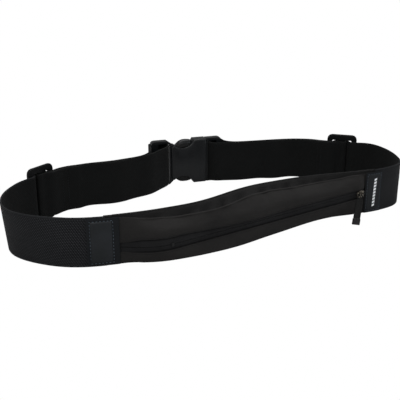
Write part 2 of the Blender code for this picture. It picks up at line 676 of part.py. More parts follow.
def build():
    route = Route(ROUTE)
    pouch, pieces = pouch_pieces(route)
    for name, mesh in pieces.items():
        add(name, "zip_tape" if "tape" in name else "pouch_fabric", mesh)

    for name, low, high in (("patch_left", *LEFT_PATCH), ("patch_right", *RIGHT_PATCH)):
        low, high = low - PLAN_CENTRE[0], high - PLAN_CENTRE[0]
        ends = [route.nearest((x + PLAN_CENTRE[0], -57)) for x in (low, high)]
        tops = (1.0, 39.0) if name == "patch_left" else (0.8, 38.2)

        def patch(u, v, ends=ends, tops=tops):
            xy = route.place(ends[0] + (ends[1] - ends[0]) * u, PATCH_OUT)
            return Vector((*xy, tops[0] + (tops[1] - tops[0]) * v))

        add(name, "patch_rubber", sheet(patch, 1, 10, PATCH_THICK))

    stop_left = route.nearest((LEFT_PATCH[1] - STRAP_STOP, -57))
    stop_right = route.nearest((RIGHT_PATCH[0] + STRAP_STOP, -59))
    add("strap_left", "webbing", strap(route, ADJUSTER_LEFT_AT, stop_left, FEMALE_WRAP, -1))
    add("strap_right", "webbing", strap(route, ADJUSTER_RIGHT_AT, stop_right, MALE_WRAP, 1))
    for name, at, sign in (
        ("adjuster_left", ADJUSTER_LEFT_AT, -1),
        ("adjuster_right", ADJUSTER_RIGHT_AT, 1),
    ):
        add(name, "hard_plastic", *adjuster(route, at, sign))

    frame = buckle_axes()
    add("buckle_female", "hard_plastic", moved(female(), frame))
    add("buckle_male", "hard_plastic", moved(male(), frame), frame @ Vector((SEAM, 0, 0)))
    for name, side in (("buckle_prong_upper", 1), ("buckle_prong_lower", -1)):
        pivot = frame @ Vector((PRONG_PIVOT[0], side * PRONG_PIVOT[1], 0))
        add(name, "hard_plastic", moved(prong(side), frame), pivot)

    add("zipper_coil_upper", "zip_coil", coil(pouch, 1))
    add("zipper_coil_lower", "zip_coil", coil(pouch, -1))
    zip_frame = zip_axes(pouch, pouch.closed)
    add("zipper_slider", "slider_enamel", moved(slider(pouch), zip_frame), pouch.closed)
    for name, side in (("zipper_top_stop_upper", 1), ("zipper_top_stop_lower", -1)):
        stop = block((4.6, side * 1.1 - 0.6, 0.6), (6.2, side * 1.1 + 0.6, 1.3))
        add(name, "slider_enamel", moved(stop, zip_frame))
    stop = block((-1.0, -1.5, 0.55), (1.0, 1.5, 1.2))
    end = pouch.opened.x - 6.5
    at_end = pouch.at(end, *pouch.zip_middle(end))
    add("zipper_bottom_stop", "slider_enamel", moved(stop, zip_axes(pouch, at_end)))

    # The pull hangs off the slider's bridge: a wire link swings across the zip, and the tab tips on it.
    bridge = zip_frame @ Vector((0, 0, 2.55))
    swing = math.radians(LINK_SWING)
    basis = zip_frame.to_3x3()
    reach = basis @ Vector((-math.cos(swing), 0, math.sin(swing)))
    up = basis.col[1]
    side = reach.cross(up)
    joint = bridge + reach * LINK_REACH
    loop = [(*p, 0) for p in rectangle((0, -LINK_HALF), (LINK_REACH, LINK_HALF), 1.0)]
    link = moved(ring(loop, LINK_WIRE), axes(reach, up, side, bridge))
    add("zipper_pull_link", "slider_enamel", link, bridge)
    droop = math.radians(TAB_DROOP)
    down = reach * math.cos(droop) - up * math.sin(droop)
    wide = TAB_WIDTH / 2
    body = [(-2, -2.6, 1.6), (3, -wide, 2), (TAB_LENGTH, -wide, 1.2), (TAB_LENGTH, wide, 1.2), (3, wide, 2),
            (-2, 2.6, 1.6)]  # fmt: skip
    hole = arc((0.4, 0), 1.5, 0, 330, 11)
    tab = plate([rounded(body), hole], TAB_THICK, 0.4)
    add("zipper_pull_tab", "pull_rubber", moved(tab, axes(down, side, down.cross(side), joint)), joint)


clear_scene()
BELT = bpy.data.collections.new("money_belt")
bpy.context.scene.collection.children.link(BELT)
build()
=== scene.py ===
"""The looks of the money belt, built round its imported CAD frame.

Lengths are in millimetres until a mesh is made, and MM turns them into metres. +X runs along the pouch
towards the closed end of its zip, -Y is the pouch's outer face and +Z is up.
"""

import math

import bmesh
import bpy
import numpy as np
from mathutils import Matrix, Vector


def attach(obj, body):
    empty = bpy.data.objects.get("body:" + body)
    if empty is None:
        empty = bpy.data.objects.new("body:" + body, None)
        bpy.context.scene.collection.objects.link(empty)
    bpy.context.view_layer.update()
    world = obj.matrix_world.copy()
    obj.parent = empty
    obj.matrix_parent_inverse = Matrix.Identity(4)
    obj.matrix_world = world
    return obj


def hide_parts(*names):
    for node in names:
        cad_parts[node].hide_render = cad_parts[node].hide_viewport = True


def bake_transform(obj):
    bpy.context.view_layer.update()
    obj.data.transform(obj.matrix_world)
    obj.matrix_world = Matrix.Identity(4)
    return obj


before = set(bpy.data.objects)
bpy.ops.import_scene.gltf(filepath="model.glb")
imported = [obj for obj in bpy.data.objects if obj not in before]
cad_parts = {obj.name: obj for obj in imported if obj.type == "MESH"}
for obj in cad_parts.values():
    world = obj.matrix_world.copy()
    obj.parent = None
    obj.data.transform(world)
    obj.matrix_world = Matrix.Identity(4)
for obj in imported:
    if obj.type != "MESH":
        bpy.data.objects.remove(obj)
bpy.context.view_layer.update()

MM = 0.001
PLAN_CENTRE = (0.87, 11.87)

# The webbing, as the frame has it
WEB_WIDTH = 40.0
WEB_THICK = 1.5
LAYER = 1.9
ROUTE = [
    (-45, 69.5), (-70, 67.6), (-100, 68.4), (-121, 64), (-138, 55.4), (-158.6, 42.4), (-173.6, 25.6),
    (-180.5, 4), (-176, -14), (-163, -32), (-146, -46), (-126, -54.2), (-106, -58.4), (-88, -60.8),
    (-67, -61.8), (-50, -61.4), (-31, -57.8), (-12, -52.2), (9, -47.4), (33, -46.2), (56, -46.9),
    (81, -50.2), (102, -54.5), (125, -58.6), (150, -58.6), (166.6, -53.6), (177.4, -41.6), (182, -25),
    (180.4, -5.5), (172.4, 9.4), (159.5, 20), (147, 35.4), (130.8, 48.6), (111.4, 59.4), (89, 66.6),
]
ADJUSTER_LEFT_AT = (-135.9, 56.5)
ADJUSTER_RIGHT_AT = (158.9, 20.4)
ADJUSTER_LIFT = 3.6
TAIL_END = 34.0
SLACK = 2.4
BUCKLE_CENTRE = (21.3, 93.4)
BUCKLE_TURN = -10.4
BUCKLE_MIDDLE = 23.9
BUCKLE_LIFT = 2.9
LEFT_PATCH = (-137.0, -111.6)
RIGHT_PATCH = (123.4, 141.4)
TUCK = 10.3
STRAP_STOP = 10.0
PATCH_OUT = 1.7
BACK_OUT = -1.45
ZIP_CLOSED = (115.4, -61.16, 20.52)
ZIP_OPEN = (-68.0, -72.56, 14.82)
ZIP_GAP = 4.0
FABRIC = 0.7
LINK_REACH = 4.8
LINK_SWING = 38.0
TAB_LENGTH = 27.5
TAB_WIDTH = 6.7
TAB_DROOP = 44.2
MAIN_WEAVE = [
    (-14, -0.05), (-10.6, -0.05), (-8.2, 0.9), (-6.7, 3.1), (-5.6, 5.4), (-3.4, 6.9), (0, 7.2),
    (3.4, 7.0), (5.9, 5.8), (7.4, 3.6), (8.4, 1.2), (10.2, -0.05), (14, -0.05),
]
RETURN_WEAVE = [
    (TAIL_END + 8, -LAYER - 0.3), (TAIL_END + 2, -2 * LAYER), (28, -2 * LAYER), (20, -2 * LAYER),
    (13, -2 * LAYER), (9.4, -3.75), (6.8, -2.7), (5, -1.3), (3, -0.2), (0, -0.05), (-2.5, -0.05),
    (-3.65, 0.9), (-3.8, 2.55), (-3.65, 4.2), (-2.5, 5.15), (0, 5.2), (2.4, 5.15), (3.7, 4.1),
    (4.8, 2.2), (6, 0.3), (7.6, -1.3), (10.2, -LAYER), (14, -LAYER), (22, -LAYER), (TAIL_END, -LAYER),
]
FEMALE_WRAP = [
    (-50.4, -31), (-44.4, -24.4), (-40.1, -15), (-37.9, -6), (-37.6, 0.8), (-36.8, 4.6), (-31, 5.9),
    (-25.5, 5.4), (-21.2, 2.6), (-19.6, -2.4), (-21.5, -8.5), (-32.3, -19.6), (-44.6, -30.4),
]
MALE_WRAP = [
    (56, -13.0), (47, -11.0), (41.4, -7.2), (38.5, -1.2), (37.6, 3.6), (34, 5.4), (28.8, 5.2),
    (24.2, 2.6), (23, -2.4), (24.8, -7.6), (36.4, -11.9), (53.3, -15.2),
]
# The pouch's section at places along X, as the frame has it
STATIONS = [-111.6, -99, -83, -63, -40, -12, 10, 33, 56, 83, 102, 118, 127]
BOTTOM = [1.4, 5.6, 10.2, 12.6, 15.4, 21.0, 21.4, 18.0, 12.8, 6.2, 3.6, 2.4, 1.2]
RIDGE = [1.6, 4.2, 6.2, 8.0, 12.0, 14.8, 15.0, 13.2, 10.6, 5.6, 3.8, 2.4, 1.2]
RIDGE_HEIGHT = [37.6, 36.0, 34.4, 34.2, 34.6, 36.8, 37.8, 36.8, 35.4, 35.2, 35.8, 36.6, 36.8]
BULGE_ABOVE = [0.2, 1.0, 1.8, 2.4, 3.0, 3.2, 2.6, 1.6, 0.8, 0.4, 0.6, 0.8, 0.2]


# ---------------------------------------------------------------- curves


def spline(knots, values):
    """The natural cubic spline through values at knots, as a function."""
    t, p = np.array(knots, float), np.array(values, float)
    h, n = np.diff(t), len(t)
    system, right = np.eye(n), np.zeros_like(p)
    for i in range(1, n - 1):
        system[i, i - 1 : i + 2] = h[i - 1], 2 * (h[i - 1] + h[i]), h[i]
        right[i] = 6 * ((p[i + 1] - p[i]) / h[i] - (p[i] - p[i - 1]) / h[i - 1])
    m = np.linalg.solve(system, right)

    def at(q):
        i = int(np.clip(np.searchsorted(t, q, side="right") - 1, 0, n - 2))
        a, b = t[i + 1] - q, q - t[i]
        bend = (m[i] * a**3 + m[i + 1] * b**3) / (6 * h[i])
        return bend + (p[i] / h[i] - m[i] * h[i] / 6) * a + (p[i + 1] / h[i] - m[i + 1] * h[i] / 6) * b

    return at


def through(points, per_span):
    """Points along the smooth curve through points, per_span of them to each span."""
    p = np.array(points, float)
    knots = np.r_[0, np.cumsum(np.linalg.norm(np.diff(p, axis=0), axis=1))]
    curve = spline(knots, p)
    steps = [np.linspace(a, b, per_span, endpoint=False) for a, b in zip(knots, knots[1:])]
    return [curve(q) for q in np.r_[np.concatenate(steps), knots[-1]]]


def ease(x, start, end):
    """0 before start and 1 after end, turning smoothly between them."""
    t = min(max((x - start) / (end - start), 0.0), 1.0)
    return t * t * (3 - 2 * t)


def bump(x, middle, width):
    """1 at middle, falling off smoothly on both sides over about width."""
    return math.exp(-(((x - middle) / width) ** 2))


class Route:
    """The belt's plan curve, read by the length along it."""

    def __init__(self, points):
        self.xy = np.array(through(points, 40)) - PLAN_CENTRE
        steps = np.linalg.norm(np.diff(self.xy, axis=0), axis=1)
        self.s = np.r_[0, np.cumsum(steps)]
        self.length = self.s[-1]
        front = self.xy[:, 1] < np.interp(self.xy[:, 0], (-170, 170), (-20, -30))
        self.front = self.xy[front]

    def point(self, s):
        return np.array([np.interp(s, self.s, self.xy[:, 0]), np.interp(s, self.s, self.xy[:, 1])])

    def tangent(self, s):
        """The unit direction at s, which must be on the route or within 1.5 of its ends."""
        step = self.point(min(s + 1.5, self.length)) - self.point(max(s - 1.5, 0))
        return step / np.linalg.norm(step)

    def place(self, s, out):
        t = self.tangent(s)
        return self.point(s) + out * np.array([t[1], -t[0]])

    def nearest(self, plan):
        gaps = np.linalg.norm(self.xy - (np.array(plan) - PLAN_CENTRE), axis=1)
        return self.s[int(np.argmin(gaps))]

    def front_y(self, x):
        return np.interp(x, self.front[:, 0], self.front[:, 1])


ROAD = Route(ROUTE)


def plan(x, y):
    return np.array([x, y], float) - PLAN_CENTRE


def lean(x, y):
    """How far the webbing's upper edge leans out of the loop, round its two ends."""
    return 3.4 * ease(-x, 152, 180) + 2.6 * ease(x, 166, 181) * ease(y, -56, -26)


def lift(s):
    """How far the webbing's lower edge is off the ground at length s."""
    left, right = ROAD.nearest(ADJUSTER_LEFT_AT), ROAD.nearest(ADJUSTER_RIGHT_AT)
    sides = 1 - ease(s, left + 20, left + 85) + ease(s, right - 74, right - 20)
    buckle = 1 - ease(s, 12, 50) + ease(s, ROAD.length - 45, ROAD.length - 12)
    return ADJUSTER_LIFT * sides + (BUCKLE_LIFT - ADJUSTER_LIFT) * buckle


def buckle_plan(along, out):
    turn = math.radians(BUCKLE_TURN)
    x = BUCKLE_CENTRE[0] + along * math.cos(turn) - out * math.sin(turn)
    y = BUCKLE_CENTRE[1] + along * math.sin(turn) + out * math.cos(turn)
    return plan(x, y)


# ---------------------------------------------------------------- materials


class Nodes:
    """A short way to write a material's node tree."""

    def __init__(self, name):
        self.material = bpy.data.materials.new(name)
        self.material.use_nodes = True
        self.tree = self.material.node_tree
        self.shader = self.tree.nodes["Principled BSDF"]

    def node(self, kind, **settings):
        made = self.tree.nodes.new(kind)
        for key, value in settings.items():
            setattr(made, key, value)
        return made

    def link(self, source, target):
        self.tree.links.new(source, target)

    def put(self, value, socket):
        if isinstance(value, (int, float)):
            socket.default_value = value
        else:
            self.link(value, socket)

    def math(self, operation, a, b=0.0):
        made = self.node("ShaderNodeMath", operation=operation)
        self.put(a, made.inputs[0])
        self.put(b, made.inputs[1])
        return made.outputs[0]

    def wave(self, value, period, phase=0.0):
        """A sine of value over period, from 0 to 1."""
        turned = self.math("MULTIPLY_ADD", value, math.tau / period)
        turned.node.inputs[2].default_value = phase
        made = self.math("MULTIPLY_ADD", self.math("SINE", turned), 0.5)
        made.node.inputs[2].default_value = 0.5
        return made

    def noise(self, coordinates, scale, detail=2.0, rough=0.5):
        made = self.node("ShaderNodeTexNoise")
        made.inputs["Scale"].default_value = scale
        made.inputs["Detail"].default_value = detail
        made.inputs["Roughness"].default_value = rough
        self.link(coordinates, made.inputs["Vector"])
        return made.outputs["Fac"]

    def ramp(self, value, low, high, start=0.0, end=1.0):
        """Two colours mixed by value, between start and end."""
        made = self.node("ShaderNodeValToRGB")
        made.color_ramp.elements[0].position = start
        made.color_ramp.elements[1].position = end
        made.color_ramp.elements[0].color = (*low, 1)
        made.color_ramp.elements[1].color = (*high, 1)
        self.put(value, made.inputs[0])
        return made.outputs[0]

    def bumps(self, *layers):
        """Heights in metres, each (value, depth), laid on top of each other."""
        normal = None
        for value, depth in layers:
            made = self.node("ShaderNodeBump")
            made.inputs["Distance"].default_value = depth
            made.inputs["Strength"].default_value = 1.0
            self.link(value, made.inputs["Height"])
            if normal is not None:
                self.link(normal, made.inputs["Normal"])
            normal = made.outputs["Normal"]
        self.link(normal, self.shader.inputs["Normal"])

    def set(self, **values):
        for key, value in values.items():
            self.shader.inputs[key.replace("_", " ")].default_value = value
        return self.material


def shade(*levels):
    """Linear colour from screen levels of 0 to 255."""
    return tuple(((c / 255 + 0.055) / 1.055) ** 2.4 if c > 10 else c / 255 / 12.92 for c in levels)


def webbing_material(name, dark, light, selvage):
    """Elastic webbing: steep twill over fine ribs, with a plain bound selvage along both edges."""
    n = Nodes(name)
    uv = n.node("ShaderNodeUVMap", uv_map="length").outputs[0]
    parts = n.node("ShaderNodeSeparateXYZ")
    n.link(uv, parts.inputs[0])
    along, across = parts.outputs[0], parts.outputs[1]
    slant = n.math("SUBTRACT", along, n.math("MULTIPLY", across, 0.62))
    twill = n.wave(slant, 1.9)
    cross = n.wave(across, 1.25)
    ribs = n.wave(along, 0.95)
    dots = n.math("MULTIPLY", twill, cross)
    fine = n.math("ADD", n.math("MULTIPLY", dots, 0.8), n.math("MULTIPLY", ribs, 0.2))
    edge = n.math("ABSOLUTE", n.math("SUBTRACT", across, WEB_WIDTH / 2))
    inside = n.node("ShaderNodeMapRange")
    n.link(edge, inside.inputs[0])
    inside.inputs[1].default_value, inside.inputs[2].default_value = WEB_WIDTH / 2 - 1.7, WEB_WIDTH / 2 - 1.2
    inside.inputs[3].default_value, inside.inputs[4].default_value = 0.0, 1.0
    cloth = n.ramp(fine, shade(*dark), shade(*light), 0.15, 0.75)
    mix = n.node("ShaderNodeMix", data_type="RGBA")
    n.link(inside.outputs[0], mix.inputs[0])
    n.link(cloth, mix.inputs[6])
    mix.inputs[7].default_value = (*shade(*selvage), 1)
    position = n.node("ShaderNodeTexCoord").outputs["Object"]
    worn = n.noise(position, 60, 3.0)
    tint = n.node("ShaderNodeMix", data_type="RGBA", blend_type="MULTIPLY")
    tint.inputs[0].default_value = 0.35
    n.link(mix.outputs[2], tint.inputs[6])
    n.link(n.ramp(worn, (0.6, 0.6, 0.6), (1.25, 1.25, 1.25), 0.3, 0.7), tint.inputs[7])
    n.link(tint.outputs[2], n.shader.inputs["Base Color"])
    n.bumps((worn, 0.0006), (fine, 0.00022))
    return n.set(Roughness=0.85, Specular_IOR_Level=0.12, Sheen_Weight=0.02, Sheen_Roughness=0.5)


def knit_material(name, dark, light, pitch=0.55, specular=0.14):
    """Soft stretch cloth: very fine ribs both ways and a faint cloudy variation."""
    n = Nodes(name)
    uv = n.node("ShaderNodeUVMap", uv_map="length").outputs[0]
    parts = n.node("ShaderNodeSeparateXYZ")
    n.link(uv, parts.inputs[0])
    ribs = n.math("MULTIPLY", n.wave(parts.outputs[0], pitch), n.wave(parts.outputs[1], pitch))
    position = n.node("ShaderNodeTexCoord").outputs["Object"]
    cloud = n.noise(position, 38, 4.0, 0.6)
    grain = n.noise(position, 900, 2.0)
    level = n.math("ADD", n.math("MULTIPLY", cloud, 0.65), n.math("MULTIPLY", grain, 0.2))
    level = n.math("ADD", level, n.math("MULTIPLY", ribs, 0.15))
    n.link(n.ramp(level, shade(*dark), shade(*light), 0.3, 0.7), n.shader.inputs["Base Color"])
    n.bumps((cloud, 0.0010), (grain, 0.00004), (ribs, 0.00008))
    return n.set(Roughness=0.8, Specular_IOR_Level=specular, Sheen_Weight=0.03, Sheen_Roughness=0.4)


def plastic_material(name, dark, light, roughness=0.36, specular=0.3):
    """Moulded plastic with a very fine spark texture and slightly worn patches."""
    n = Nodes(name)
    position = n.node("ShaderNodeTexCoord").outputs["Object"]
    grain = n.noise(position, 1800, 2.0)
    cloud = n.noise(position, 90, 3.0)
    n.link(n.ramp(cloud, shade(*dark), shade(*light), 0.3, 0.7), n.shader.inputs["Base Color"])
    n.link(n.ramp(cloud, (roughness - 0.05,) * 3, (roughness + 0.08,) * 3), n.shader.inputs["Roughness"])
    n.bumps((cloud, 0.00012), (grain, 0.00002))
    return n.set(Specular_IOR_Level=specular)


def coated_material(name, dark, light, roughness=0.5, specular=0.25):
    """A smooth coated patch with a soft leathery grain."""
    n = Nodes(name)
    position = n.node("ShaderNodeTexCoord").outputs["Object"]
    grain = n.noise(position, 700, 3.0, 0.6)
    cloud = n.noise(position, 70, 2.0)
    n.link(n.ramp(cloud, shade(*dark), shade(*light), 0.3, 0.7), n.shader.inputs["Base Color"])
    n.bumps((cloud, 0.0004), (grain, 0.00005))
    return n.set(Roughness=roughness, Specular_IOR_Level=specular)


def metal_material(name, level, roughness):
    n = Nodes(name)
    position = n.node("ShaderNodeTexCoord").outputs["Object"]
    worn = n.noise(position, 900, 3.0)
    bright = shade(*(min(255, c * 2) for c in level))
    n.link(n.ramp(worn, shade(*level), bright, 0.4, 0.8), n.shader.inputs["Base Color"])
    n.bumps((worn, 0.00003))
    return n.set(Roughness=roughness, Metallic=0.9)


# webbing_front is the webbing as lit; the darker copy after it is painted shade, for the faces inside the
# loop and the webbing at the back of the belt.
WEB_FRONT = webbing_material("webbing_front", (8, 9, 10), (52, 53, 56), (29, 30, 32))
WEB_PAINTED_SHADE = webbing_material("webbing_painted_shade", (10, 11, 11), (17, 18, 18), (14, 15, 15))
POUCH = knit_material("pouch_cloth", (27, 26, 26), (37, 36, 35))
# A darker copy of the pouch cloth: painted shade, for the top behind the ridge and the back panel.
POUCH_PAINTED_SHADE = knit_material("pouch_top_cloth_painted_shade", (17, 17, 17), (25, 24, 24))
TAPE = knit_material("zip_tape_cloth", (22, 22, 23), (33, 33, 34), 0.7, 0.1)
PIPING = knit_material("edge_binding", (24, 24, 24), (34, 34, 34), 0.5)
COIL = plastic_material("zip_coil_nylon", (10, 10, 11), (16, 16, 17), 0.45)
PLASTIC = plastic_material("buckle_plastic", (11, 13, 15), (15, 17, 19))
# A near-black copy of the plastic: painted shade for the low faces of the buttons in their scoops.
RECESS_PAINTED_SHADE = plastic_material("buckle_recess_painted_shade", (2, 2, 2), (5, 5, 5), 0.7)
GLIDE = plastic_material("glide_plastic", (6, 7, 8), (10, 11, 12), 0.46, 0.12)
RUBBER = plastic_material("tab_rubber", (6, 6, 6), (10, 10, 10), 0.62, 0.14)
TIP = plastic_material("tab_tip", (8, 8, 8), (12, 12, 12), 0.4, 0.2)
PATCH = coated_material("patch_coat", (15, 19, 21), (25, 28, 32))
PATCH_EDGE = knit_material("patch_edge_cloth", (16, 18, 20), (25, 27, 30), 0.6)
LABEL = coated_material("label_coat", (15, 18, 21), (21, 24, 28), 0.6)
THREAD = coated_material("thread", (54, 61, 68), (74, 82, 90), 0.7, 0.2)
THREAD_DARK = coated_material("thread_dark", (10, 10, 12), (24, 25, 30), 0.7, 0.2)
ENAMEL = metal_material("slider_enamel", (74, 70, 64), 0.26)
MARK = coated_material("mark_print", (225, 228, 230), (240, 242, 244), 0.6)


# ---------------------------------------------------------------- meshes


def finished(name, verts, faces, material, body, slot, uv=None, smooth=True):
    """An object from points in millimetres, that rides on a body."""
    mesh = bpy.data.meshes.new(name)
    mesh.from_pydata([tuple(Vector(v) * MM) for v in verts], [], faces)
    mesh.update()
    if uv is not None:
        layer = mesh.uv_layers.new(name="length")
        corners = np.array([uv[loop.vertex_index] for loop in mesh.loops], np.float32)
        layer.data.foreach_set("uv", corners.ravel())
    return dressed(name, mesh, material, body, slot, smooth)


def dressed(name, mesh, material, body, slot, smooth=True):
    if smooth:
        mesh.polygons.foreach_set("use_smooth", [True] * len(mesh.polygons))
    mesh.materials.clear()
    mesh.materials.append(material)
    obj = bpy.data.objects.new(name, mesh)
    bpy.context.scene.collection.objects.link(obj)
    if body is not None:
        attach(obj, body)
    return obj


def tidy(mesh, dist=1e-7):
    work = bmesh.new()
    work.from_mesh(mesh)
    bmesh.ops.remove_doubles(work, verts=work.verts, dist=dist)
    bmesh.ops.recalc_face_normals(work, faces=work.faces)
    work.to_mesh(mesh)
    work.free()
    return mesh


def cloth(name, point, along, across, material, slot, thick=FABRIC, body="belt"):
    """A sheet of even thickness about point(u, v), with u along it and v across it, from 0 to 1."""
    grid = np.array([[point(i / along, j / across) for j in range(across + 1)] for i in range(along + 1)])
    du, dv = np.gradient(grid, axis=0), np.gradient(grid, axis=1)
    normal = np.cross(du, dv)
    normal /= np.linalg.norm(normal, axis=2)[..., None]
    ring = []
    for half in (0.5, -0.5):
        ring.append(grid + normal * thick * half)
    lengths = np.r_[0, np.cumsum(np.linalg.norm(np.diff(grid[:, across // 2], axis=0), axis=1))]
    widths = np.r_[0, np.cumsum(np.linalg.norm(np.diff(grid[along // 2], axis=0), axis=1))]
    count = across + 1
    verts = [p for side in ring for row in side for p in row]
    uv = [(lengths[i], widths[j]) for _ in ring for i in range(along + 1) for j in range(count)]
    back = (along + 1) * count

    def face(i, j):
        return i * count + j, (i + 1) * count + j, (i + 1) * count + j + 1, i * count + j + 1

    faces = [face(i, j) for i in range(along) for j in range(across)]
    faces += [tuple(back + k for k in face(i, j)[::-1]) for i in range(along) for j in range(across)]
    for i in range(along):
        for j, turn in ((0, 1), (across, -1)):
            a, b = i * count + j, (i + 1) * count + j
            faces.append((a, back + a, back + b, b)[::turn])
    for j in range(across):
        for i, turn in ((0, -1), (along, 1)):
            a, b = i * count + j, i * count + j + 1
            faces.append((a, back + a, back + b, b)[::turn])
    return finished(name, verts, faces, material, body, slot, uv)


def band(name, path, material, start, ends=(True, True), inner=0):
    """Webbing on edge along path, (x, y, low) points, with rounded selvages. It has no parent.

    inner is 1 or -1 for the side of the path that faces into the loop, whose faces get the darker webbing
    copy as painted shade, and the upper edge leans away from that side. 0 is for webbing in one material all
    over, which doesn't lean."""
    width, half = WEB_WIDTH, WEB_THICK / 2
    face = list(np.linspace(0.7, width - 0.7, 13))
    edge, inset = half * 0.72, 0.12
    section = [(half, v) for v in face] + [(edge, width - inset), (0, width), (-edge, width - inset)]
    section += [(-half, v) for v in face[::-1]] + [(-edge, inset), (0, 0), (edge, inset)]
    p = np.array(path)
    t = np.gradient(p[:, :2], axis=0)
    t /= np.linalg.norm(t, axis=1)[:, None]
    run = start + np.r_[0, np.cumsum(np.linalg.norm(np.diff(p[:, :2], axis=0), axis=1))]
    verts, uv, faces = [], [], []
    n = len(section)
    for (x, y, low), (tx, ty), s in zip(p, t, run):
        for out, v in section:
            tip = inner * lean(x, y) * (v - 10) / 40
            verts.append((x + (out - tip) * ty, y - (out - tip) * tx, low + v))
            uv.append((s, v))
    for i in range(len(p) - 1):
        for k in range(n):
            m = (k + 1) % n
            faces.append((i * n + k, (i + 1) * n + k, (i + 1) * n + m, i * n + m))
    if ends[0]:
        faces.append(tuple(range(n)))
    if ends[1]:
        faces.append(tuple((len(p) - 1) * n + k for k in range(n))[::-1])
    made = finished(name, verts, faces, material, None, "webbing", uv)
    if inner:
        # Painted shade: the faces on the loop's inner side get the darker webbing copy.
        made.data.materials.append(WEB_PAINTED_SHADE)
        shaded_faces = range(12) if inner > 0 else range(15, 27)
        kinds = [int(i < (len(p) - 1) * n and i % n in shaded_faces) for i in range(len(faces))]
        made.data.polygons.foreach_set("material_index", kinds)
    return made, run[-1]


def stitches(name, line, material, body, slot, pitch=2.6, share=0.68, radius=0.28):
    """A row of sewn stitches along line, a list of (point, outward normal)."""
    points = np.array([p for p, _ in line], float)
    outs = np.array([o for _, o in line], float)
    run = np.r_[0, np.cumsum(np.linalg.norm(np.diff(points, axis=0), axis=1))]

    def at(values, q):
        return np.array([np.interp(q, run, values[:, k]) for k in range(3)])

    verts, faces = [], []
    rings, sides = 5, 6
    for i in range(int(run[-1] / pitch)):
        first, last = i * pitch, (i + share) * pitch
        along = at(points, last) - at(points, first)
        along /= np.linalg.norm(along)
        out = at(outs, (first + last) / 2)
        out = out - along * out.dot(along)
        out /= np.linalg.norm(out)
        side = np.cross(along, out)
        base = len(verts)
        for r in range(rings):
            share_along = r / (rings - 1)
            middle = at(points, first + (last - first) * share_along)
            rise = math.sin(math.pi * share_along)
            size = radius * (0.35 + 0.65 * rise)
            for k in range(sides):
                a = math.tau * k / sides
                verts.append(middle + out * (0.14 * rise + size * math.cos(a)) + side * size * math.sin(a))
        for r in range(rings - 1):
            for k in range(sides):
                m = (k + 1) % sides
                here, over = base + r * sides, base + (r + 1) * sides
                faces.append((here + k, here + m, over + m, over + k))
        faces.append(tuple(base + k for k in range(sides))[::-1])
        faces.append(tuple(base + (rings - 1) * sides + k for k in range(sides)))
    return finished(name, verts, faces, material, body, slot)


def tube(name, path, radii, material, body, slot, sides=8, closed=False):
    """A round bar along path. radii is one radius, or one for each point."""
    p = np.array(path, float)
    count = len(p)
    radii = np.broadcast_to(radii, count)
    if closed:
        t = np.roll(p, -1, axis=0) - np.roll(p, 1, axis=0)
    else:
        t = np.gradient(p, axis=0)
    t /= np.linalg.norm(t, axis=1)[:, None]
    guide = np.array([0.31, 0.17, 0.93])
    side = np.cross(t, guide)
    side /= np.linalg.norm(side, axis=1)[:, None]
    other = np.cross(t, side)
    verts = []
    for i in range(count):
        for k in range(sides):
            a = math.tau * k / sides
            verts.append(p[i] + radii[i] * (math.cos(a) * side[i] + math.sin(a) * other[i]))
    faces = []
    for i in range(count if closed else count - 1):
        j = (i + 1) % count
        for k in range(sides):
            m = (k + 1) % sides
            faces.append((i * sides + k, i * sides + m, j * sides + m, j * sides + k))
    if not closed:
        faces += [tuple(range(sides))[::-1], tuple((count - 1) * sides + k for k in range(sides))]
    return finished(name, verts, faces, material, body, slot)


def refined(name, node, material, body, slot, width=0.5, angle=32.0):
    """A CAD node's own shape with its edges rounded over."""
    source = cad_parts[node]
    mesh = source.data.copy()
    mesh.transform(source.matrix_world)
    tidy(mesh, 2e-6)
    work = bmesh.new()
    work.from_mesh(mesh)
    bmesh.ops.dissolve_limit(work, angle_limit=math.radians(1.5), verts=work.verts, edges=work.edges)
    work.to_mesh(mesh)
    work.free()
    obj = bpy.data.objects.new(name, mesh)
    bpy.context.scene.collection.objects.link(obj)
    bevel = obj.modifiers.new("bevel", "BEVEL")
    bevel.width = width * MM
    bevel.segments = 3
    bevel.limit_method = "ANGLE"
    bevel.angle_limit = math.radians(angle)
    bevel.harden_normals = False
    bpy.context.view_layer.update()
    baked = bpy.data.meshes.new_from_object(obj.evaluated_get(bpy.context.evaluated_depsgraph_get()))
    bpy.data.objects.remove(obj, do_unlink=True)
    made = dressed(name, baked, material, None, slot)
    by_angle(made, 35)
    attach(made, body)
    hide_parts(node)
    return made


def by_angle(obj, degrees):
    """Smooth shading that breaks at sharp edges."""
    mesh = obj.data
    work = bmesh.new()
    work.from_mesh(mesh)
    for edge in work.edges:
        if len(edge.link_faces) == 2 and edge.calc_face_angle(0) > math.radians(degrees):
            edge.smooth = False
    work.to_mesh(mesh)
    work.free()
    return obj


def axes(x, y, z, origin):
    """The matrix that takes a piece's own axes to these, at origin, in millimetres."""
    turn = Matrix((x, y, z)).transposed().to_4x4()
    return Matrix.Translation(Vector(origin)) @ turn


# ---------------------------------------------------------------- webbing


